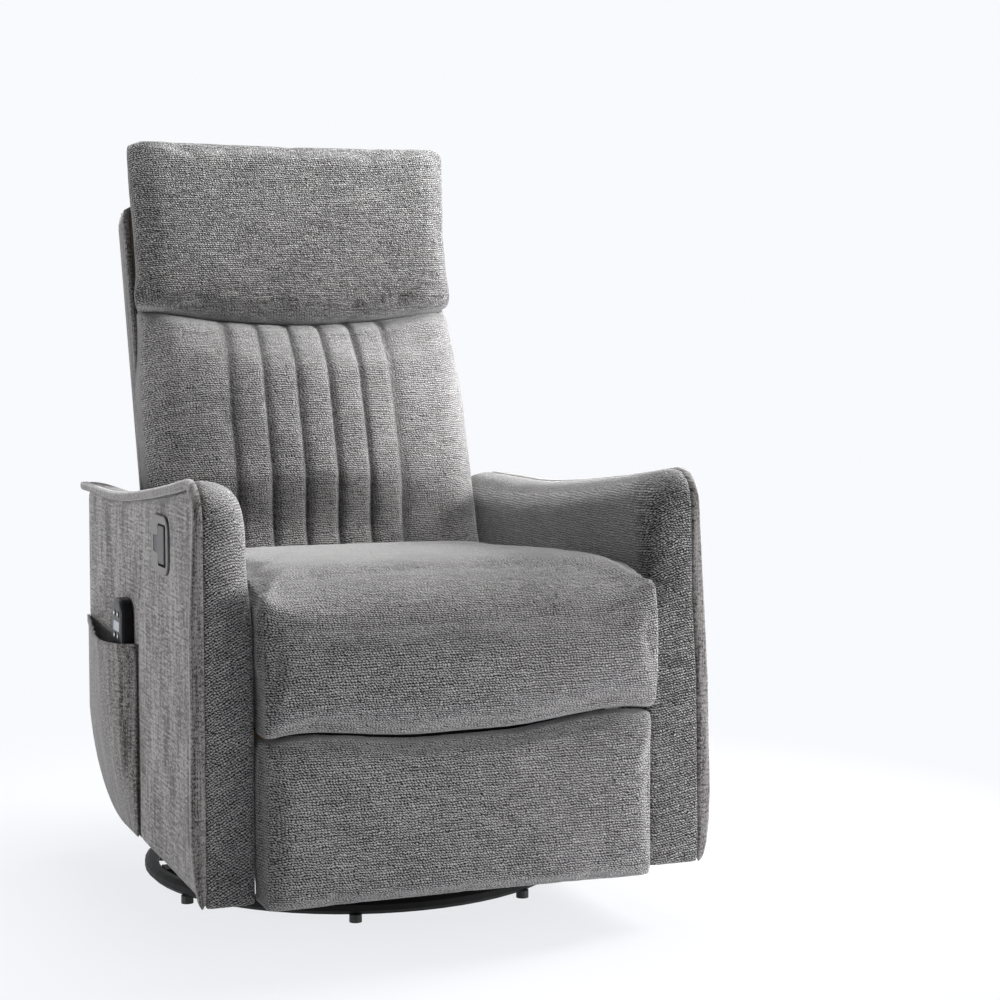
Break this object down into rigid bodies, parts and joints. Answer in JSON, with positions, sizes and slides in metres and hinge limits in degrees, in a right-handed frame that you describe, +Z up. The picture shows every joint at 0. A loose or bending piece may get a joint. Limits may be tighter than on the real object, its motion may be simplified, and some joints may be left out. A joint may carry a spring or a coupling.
{
  "type": "swivel rocker recliner",
  "caption": "Upholstered armchair that swivels on a ring base, rocks on sprung cams, reclines and swings out a footrest, with a side release lever and a pocketed handset.",
  "frame": {"origin": "on the floor, on the swivel axis", "axes": "+Z up, the chair faces -Y, +X to the right as seen from the front"},
  "size_m": [0.7333, 0.9203, 1.1052],
  "materials": {
    "chenille": "coarse woven pile",
    "brushed_cloth": "brushed nap",
    "black_steel": "satin black",
    "zinc_steel": "zinc plated",
    "spring_steel": "oiled",
    "plywood": "raw",
    "grey_plastic": "fine grain",
    "gloss_black": "polished",
    "key_white": "satin",
    "black_rubber": "plain"
  },
  "bodies": {
    "base": {"base_ring": "black_steel", "base_spider": "black_steel", "swivel_race": "zinc_steel", "foot_1": "black_rubber", "foot_2": "black_rubber", "foot_3": "black_rubber", "foot_4": "black_rubber", "foot_5": "black_rubber", "foot_6": "black_rubber", "foot_7": "black_rubber"},
    "turntable": {"turntable": "black_steel", "rocker_spring_1": "spring_steel", "rocker_spring_2": "spring_steel", "rocker_spring_3": "spring_steel", "rocker_spring_4": "spring_steel"},
    "chair": {"rocker_rail_left": "plywood", "rocker_rail_right": "plywood", "cross_tube_front": "black_steel", "cross_tube_rear": "black_steel", "arm_frame_left": "plywood", "arm_frame_right": "plywood", "arm_pad_left": "chenille", "arm_pad_right": "chenille", "side_panel_left": "brushed_cloth", "side_panel_right": "brushed_cloth", "side_pocket": "brushed_cloth", "lever_bezel": "grey_plastic"},
    "seat": {"seat_plate_left": "zinc_steel", "seat_plate_right": "zinc_steel", "seat_rail_front": "plywood", "seat_rail_rear": "plywood", "seat_spring_1": "spring_steel", "seat_spring_2": "spring_steel", "seat_spring_3": "spring_steel", "seat_cushion": "chenille"},
    "back": {"back_board": "plywood", "back_panel": "brushed_cloth", "back_bracket_left": "black_steel", "back_bracket_right": "black_steel", "back_cushion": "chenille", "head_cushion": "chenille", "massage_motor": "gloss_black"},
    "link_a": {"link_a_left": "zinc_steel", "link_a_right": "zinc_steel"},
    "link_b": {"link_b_left": "zinc_steel", "link_b_right": "zinc_steel"},
    "link_c": {"link_c_left": "zinc_steel", "link_c_right": "zinc_steel"},
    "link_d": {"link_d_left": "zinc_steel", "link_d_right": "zinc_steel"},
    "footrest": {"footrest_bracket_left": "black_steel", "footrest_bracket_right": "black_steel", "footrest_board": "plywood", "footrest_pad": "chenille"},
    "lever": {"release_lever": "grey_plastic"},
    "handset": {"handset_shell": "gloss_black"},
    "key_1": {"handset_key_1": "key_white"},
    "key_2": {"handset_key_2": "key_white"},
    "key_3": {"handset_key_3": "key_white"},
    "key_4": {"handset_key_4": "key_white"}
  },
  "joints": [
    {"name": "swivel", "type": "hinge", "parent": "base", "child": "turntable", "pos_m": [0, 0, 0.0359], "axis": [0, 0, 1], "continuous": true},
    {"name": "rock", "type": "hinge", "parent": "turntable", "child": "chair", "pos_m": [0, 0, 0.2353], "axis": [-1, 0, 0], "range_deg": [-5, 8], "stiffness_Nm_per_rad": 1500, "deforming": ["rocker_spring_1", "rocker_spring_2", "rocker_spring_3", "rocker_spring_4"]},
    {"name": "seat_glide", "type": "slide", "parent": "chair", "child": "seat", "axis": [0, -1, 0], "range_m": [0, 0.0451]},
    {"name": "recline", "type": "hinge", "parent": "seat", "child": "back", "pos_m": [0, 0.16, 0.36], "axis": [-1, 0, 0], "range_deg": [0, 45]},
    {"name": "footrest_open", "type": "hinge", "parent": "seat", "child": "link_a", "pos_m": [0, -0.36, 0.27], "axis": [-1, 0, 0], "range_deg": [0, 100.6]},
    {"name": "link_b_turn", "type": "hinge", "parent": "seat", "child": "link_b", "pos_m": [0, -0.337, 0.2397], "axis": [-1, 0, 0], "range_deg": [0, 102.7]},
    {"name": "link_c_turn", "type": "hinge", "parent": "link_a", "child": "link_c", "pos_m": [0, -0.32927, 0.10789], "axis": [-1, 0, 0], "range_deg": [-121.15, 0]},
    {"name": "link_d_turn", "type": "hinge", "parent": "link_a", "child": "link_d", "pos_m": [0, -0.32313, 0.07546], "axis": [-1, 0, 0], "range_deg": [-119.3, 0]},
    {"name": "footrest_turn", "type": "hinge", "parent": "link_c", "child": "footrest", "pos_m": [0, -0.418, 0.247], "axis": [-1, 0, 0], "range_deg": [0, 110.55]},
    {"name": "lever_pull", "type": "hinge", "parent": "chair", "child": "lever", "pos_m": [-0.3393, -0.181, 0.524], "axis": [0, 0, -1], "range_deg": [0, 45], "stiffness_Nm_per_rad": 0.5},
    {"name": "handset_lift", "type": "slide", "parent": "chair", "child": "handset", "axis": [0, 0, 1], "range_m": [0, 0.11]},
    {"name": "key_1_press", "type": "slide", "parent": "handset", "child": "key_1", "axis": [1, 0, 0], "range_m": [0, 0.0008], "stiffness_N_per_m": 800},
    {"name": "key_2_press", "type": "slide", "parent": "handset", "child": "key_2", "axis": [1, 0, 0], "range_m": [0, 0.0008], "stiffness_N_per_m": 800},
    {"name": "key_3_press", "type": "slide", "parent": "handset", "child": "key_3", "axis": [1, 0, 0], "range_m": [0, 0.0008], "stiffness_N_per_m": 800},
    {"name": "key_4_press", "type": "slide", "parent": "handset", "child": "key_4", "axis": [1, 0, 0], "range_m": [0, 0.0008], "stiffness_N_per_m": 800}
  ],
  "couplings": [
    {"joint": "seat_glide", "follows": "recline", "m_per_rad": 0.057296},
    {"joint": "link_b_turn", "follows": "footrest_open", "ratio": 1.0202},
    {"joint": "link_c_turn", "follows": "footrest_open", "ratio": -1.2038},
    {"joint": "link_d_turn", "follows": "footrest_open", "ratio": -1.1851},
    {"joint": "footrest_turn", "follows": "footrest_open", "ratio": 1.0984}
  ]
}
